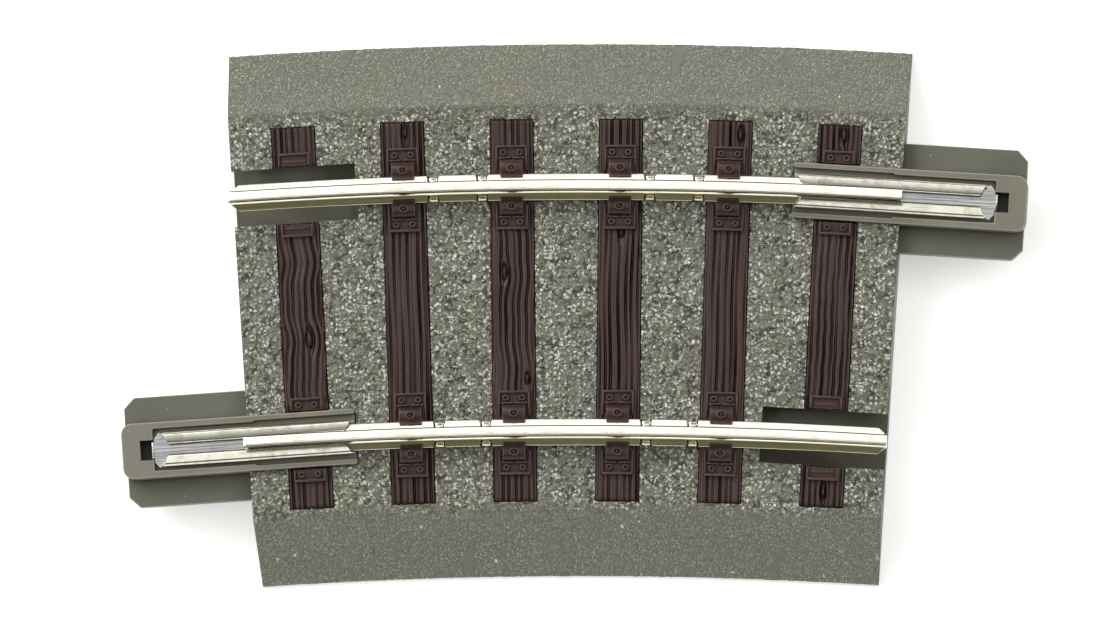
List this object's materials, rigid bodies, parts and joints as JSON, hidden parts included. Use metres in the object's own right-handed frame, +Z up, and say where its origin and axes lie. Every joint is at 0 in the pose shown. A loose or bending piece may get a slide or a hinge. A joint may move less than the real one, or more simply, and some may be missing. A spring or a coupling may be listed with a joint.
{
  "type": "model track section",
  "caption": "Short curved section of HO model railway track: two rails on sleepers in a moulded ballast bed, with a slide-in rail joiner at each end.",
  "frame": {"origin": "on the track's centre line at mid length, on the plane that the bed rests on", "axes": "+X along the track towards the end whose outer rail carries the joiner, +Y towards the outside of the curve, +Z up"},
  "size_m": [0.0647, 0.0389, 0.0082],
  "materials": {
    "ballast_plastic": "moulded stone texture",
    "sleeper_plastic": "satin, moulded wood grain",
    "rail_metal": "bright rolled nickel silver",
    "carrier_plastic": "satin",
    "joiner_metal": "bright folded sheet"
  },
  "bodies": {
    "track": {"ballast_bed": "ballast_plastic", "outer_rail": "rail_metal", "inner_rail": "rail_metal", "sleeper_1_outer_end": "sleeper_plastic", "sleeper_1_middle": "sleeper_plastic", "sleeper_1_inner_end": "sleeper_plastic", "sleeper_2": "sleeper_plastic", "sleeper_3": "sleeper_plastic", "sleeper_4": "sleeper_plastic", "sleeper_5": "sleeper_plastic", "sleeper_6_outer_end": "sleeper_plastic", "sleeper_6_middle": "sleeper_plastic", "sleeper_6_inner_end": "sleeper_plastic"},
    "left_joiner": {"left_joiner_carrier": "carrier_plastic", "left_rail_joiner": "joiner_metal"},
    "right_joiner": {"right_joiner_carrier": "carrier_plastic", "right_rail_joiner": "joiner_metal"}
  },
  "joints": [
    {"name": "left_joiner_pull", "type": "slide", "parent": "track", "child": "left_joiner", "axis": [-0.9979, -0.0654, 0], "range_m": [0, 0.009]},
    {"name": "right_joiner_pull", "type": "slide", "parent": "track", "child": "right_joiner", "axis": [0.9979, -0.0654, 0], "range_m": [0, 0.009]}
  ]
}
